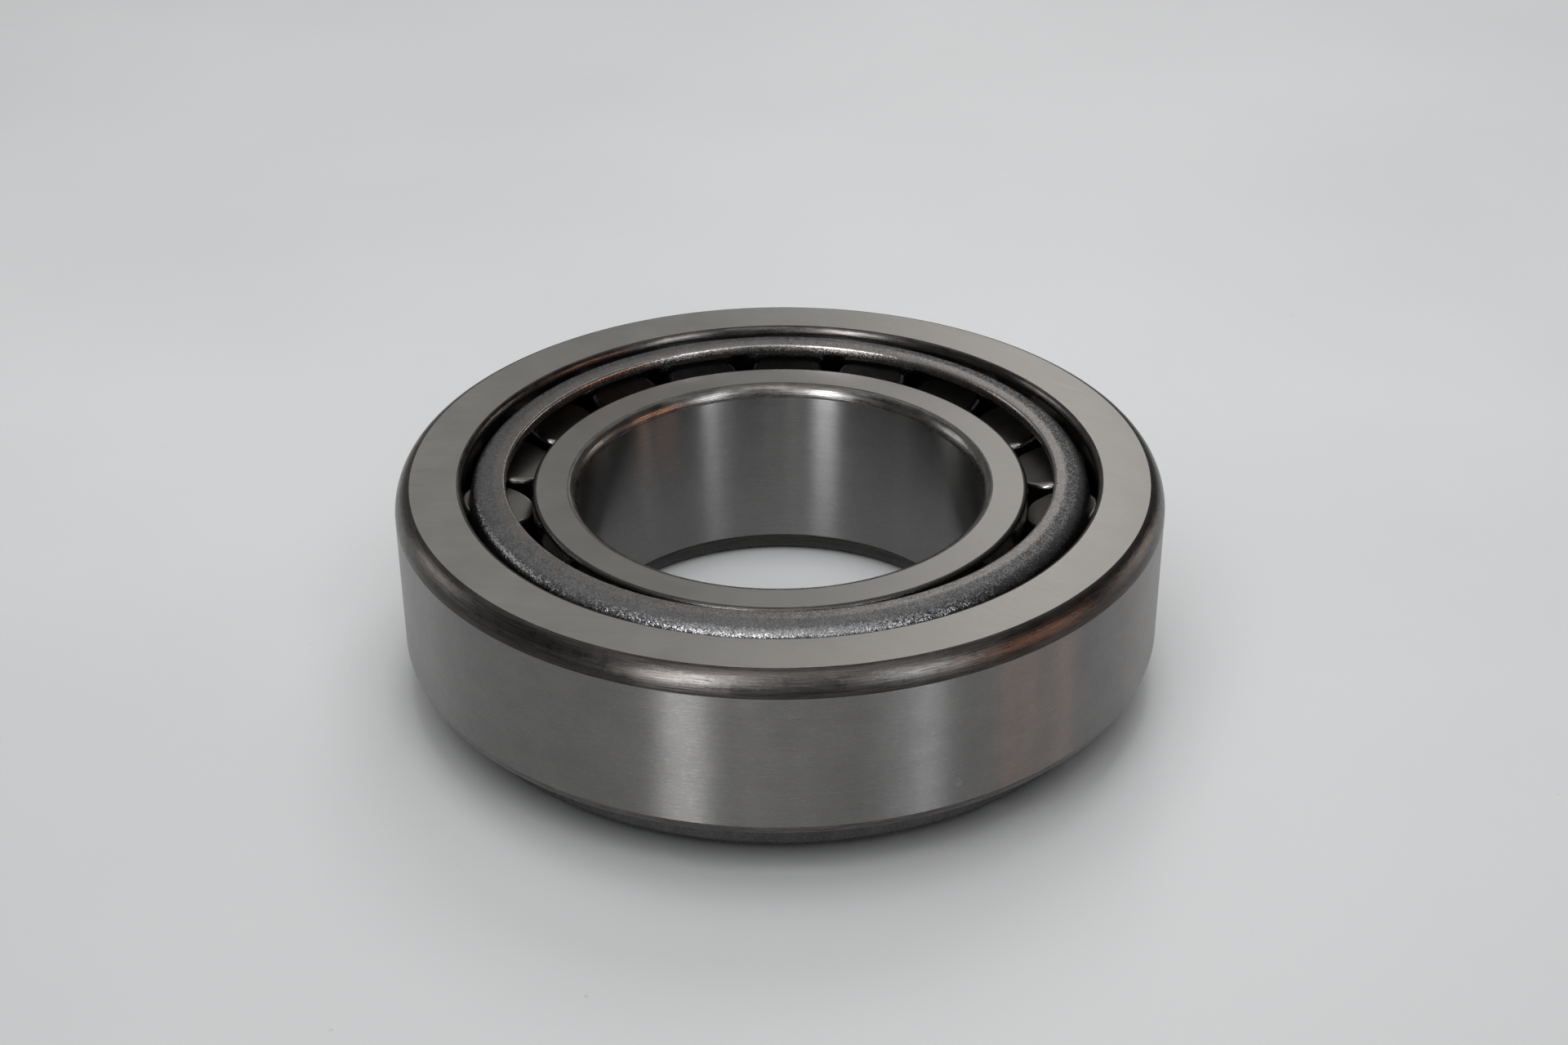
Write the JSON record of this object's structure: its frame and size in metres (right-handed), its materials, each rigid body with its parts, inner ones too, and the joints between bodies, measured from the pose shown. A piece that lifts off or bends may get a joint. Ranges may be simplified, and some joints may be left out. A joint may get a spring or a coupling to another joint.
{
  "type": "tapered roller bearing",
  "caption": "Single-row tapered roller bearing: plain outer ring, flanged inner ring with a through bore, and tapered rollers held in a pressed sheet cage.",
  "frame": {"origin": "centre of the inner ring's back face, on the bearing axis, where the bearing stands", "axes": "+Z along the bearing axis, from the inner ring's back face to the outer ring's back face"},
  "size_m": [0.085, 0.085, 0.0247],
  "materials": {
    "ring_steel": "fine ground bearing steel, satin faces with a brighter ground rim",
    "cage_steel": "matte blasted sheet steel",
    "roller_steel": "fine ground and polished bearing steel"
  },
  "bodies": {
    "cone": {"cone": "ring_steel"},
    "cup": {"cup": "ring_steel"},
    "cage": {"cage": "cage_steel"},
    "roller_01": {"roller_01": "roller_steel"},
    "roller_02": {"roller_02": "roller_steel"},
    "roller_03": {"roller_03": "roller_steel"},
    "roller_04": {"roller_04": "roller_steel"},
    "roller_05": {"roller_05": "roller_steel"},
    "roller_06": {"roller_06": "roller_steel"},
    "roller_07": {"roller_07": "roller_steel"},
    "roller_08": {"roller_08": "roller_steel"},
    "roller_09": {"roller_09": "roller_steel"},
    "roller_10": {"roller_10": "roller_steel"},
    "roller_11": {"roller_11": "roller_steel"},
    "roller_12": {"roller_12": "roller_steel"},
    "roller_13": {"roller_13": "roller_steel"},
    "roller_14": {"roller_14": "roller_steel"},
    "roller_15": {"roller_15": "roller_steel"},
    "roller_16": {"roller_16": "roller_steel"},
    "roller_17": {"roller_17": "roller_steel"},
    "roller_18": {"roller_18": "roller_steel"},
    "roller_19": {"roller_19": "roller_steel"}
  },
  "joints": [
    {"name": "cup_spin", "type": "hinge", "parent": "cone", "child": "cup", "pos_m": [0, 0, 0.01525], "axis": [0, 0, 1], "continuous": true},
    {"name": "cage_spin", "type": "hinge", "parent": "cone", "child": "cage", "pos_m": [0, 0, 0.013], "axis": [0, 0, 1], "continuous": true},
    {"name": "roller_01_spin", "type": "hinge", "parent": "cage", "child": "roller_01", "pos_m": [0.03229, 0.0071, 0.013], "axis": [-0.2235, -0.0491, 0.9735], "continuous": true},
    {"name": "roller_02_spin", "type": "hinge", "parent": "cage", "child": "roller_02", "pos_m": [0.02823, 0.0172, 0.013], "axis": [-0.1954, -0.119, 0.9735], "continuous": true},
    {"name": "roller_03_spin", "type": "hinge", "parent": "cage", "child": "roller_03", "pos_m": [0.02112, 0.02543, 0.013], "axis": [-0.1462, -0.176, 0.9735], "continuous": true},
    {"name": "roller_04_spin", "type": "hinge", "parent": "cage", "child": "roller_04", "pos_m": [0.01172, 0.03091, 0.013], "axis": [-0.0811, -0.2139, 0.9735], "continuous": true},
    {"name": "roller_05_spin", "type": "hinge", "parent": "cage", "child": "roller_05", "pos_m": [0.00104, 0.03304, 0.013], "axis": [-0.0072, -0.2287, 0.9735], "continuous": true},
    {"name": "roller_06_spin", "type": "hinge", "parent": "cage", "child": "roller_06", "pos_m": [-0.00974, 0.03159, 0.013], "axis": [0.0674, -0.2186, 0.9735], "continuous": true},
    {"name": "roller_07_spin", "type": "hinge", "parent": "cage", "child": "roller_07", "pos_m": [-0.01947, 0.02672, 0.013], "axis": [0.1348, -0.1849, 0.9735], "continuous": true},
    {"name": "roller_08_spin", "type": "hinge", "parent": "cage", "child": "roller_08", "pos_m": [-0.02709, 0.01895, 0.013], "axis": [0.1875, -0.1311, 0.9735], "continuous": true},
    {"name": "roller_09_spin", "type": "hinge", "parent": "cage", "child": "roller_09", "pos_m": [-0.03178, 0.00912, 0.013], "axis": [0.2199, -0.0631, 0.9735], "continuous": true},
    {"name": "roller_10_spin", "type": "hinge", "parent": "cage", "child": "roller_10", "pos_m": [-0.03302, -0.00169, 0.013], "axis": [0.2285, 0.0117, 0.9735], "continuous": true},
    {"name": "roller_11_spin", "type": "hinge", "parent": "cage", "child": "roller_11", "pos_m": [-0.03068, -0.01232, 0.013], "axis": [0.2123, 0.0852, 0.9735], "continuous": true},
    {"name": "roller_12_spin", "type": "hinge", "parent": "cage", "child": "roller_12", "pos_m": [-0.02502, -0.02161, 0.013], "axis": [0.1731, 0.1496, 0.9735], "continuous": true},
    {"name": "roller_13_spin", "type": "hinge", "parent": "cage", "child": "roller_13", "pos_m": [-0.01665, -0.02856, 0.013], "axis": [0.1152, 0.1977, 0.9735], "continuous": true},
    {"name": "roller_14_spin", "type": "hinge", "parent": "cage", "child": "roller_14", "pos_m": [-0.00647, -0.03242, 0.013], "axis": [0.0448, 0.2244, 0.9735], "continuous": true},
    {"name": "roller_15_spin", "type": "hinge", "parent": "cage", "child": "roller_15", "pos_m": [0.00441, -0.03277, 0.013], "axis": [-0.0305, 0.2268, 0.9735], "continuous": true},
    {"name": "roller_16_spin", "type": "hinge", "parent": "cage", "child": "roller_16", "pos_m": [0.01481, -0.02956, 0.013], "axis": [-0.1025, 0.2046, 0.9735], "continuous": true},
    {"name": "roller_17_spin", "type": "hinge", "parent": "cage", "child": "roller_17", "pos_m": [0.0236, -0.02315, 0.013], "axis": [-0.1634, 0.1602, 0.9735], "continuous": true},
    {"name": "roller_18_spin", "type": "hinge", "parent": "cage", "child": "roller_18", "pos_m": [0.02984, -0.01423, 0.013], "axis": [-0.2065, 0.0985, 0.9735], "continuous": true},
    {"name": "roller_19_spin", "type": "hinge", "parent": "cage", "child": "roller_19", "pos_m": [0.03284, -0.00377, 0.013], "axis": [-0.2273, 0.0261, 0.9735], "continuous": true}
  ],
  "couplings": [
    {"joint": "cage_spin", "follows": "cup_spin", "ratio": 0.56993},
    {"joint": "roller_01_spin", "follows": "cup_spin", "ratio": 3.4122},
    {"joint": "roller_02_spin", "follows": "cup_spin", "ratio": 3.4122},
    {"joint": "roller_03_spin", "follows": "cup_spin", "ratio": 3.4122},
    {"joint": "roller_04_spin", "follows": "cup_spin", "ratio": 3.4122},
    {"joint": "roller_05_spin", "follows": "cup_spin", "ratio": 3.4122},
    {"joint": "roller_06_spin", "follows": "cup_spin", "ratio": 3.4122},
    {"joint": "roller_07_spin", "follows": "cup_spin", "ratio": 3.4122},
    {"joint": "roller_08_spin", "follows": "cup_spin", "ratio": 3.4122},
    {"joint": "roller_09_spin", "follows": "cup_spin", "ratio": 3.4122},
    {"joint": "roller_10_spin", "follows": "cup_spin", "ratio": 3.4122},
    {"joint": "roller_11_spin", "follows": "cup_spin", "ratio": 3.4122},
    {"joint": "roller_12_spin", "follows": "cup_spin", "ratio": 3.4122},
    {"joint": "roller_13_spin", "follows": "cup_spin", "ratio": 3.4122},
    {"joint": "roller_14_spin", "follows": "cup_spin", "ratio": 3.4122},
    {"joint": "roller_15_spin", "follows": "cup_spin", "ratio": 3.4122},
    {"joint": "roller_16_spin", "follows": "cup_spin", "ratio": 3.4122},
    {"joint": "roller_17_spin", "follows": "cup_spin", "ratio": 3.4122},
    {"joint": "roller_18_spin", "follows": "cup_spin", "ratio": 3.4122},
    {"joint": "roller_19_spin", "follows": "cup_spin", "ratio": 3.4122}
  ]
}
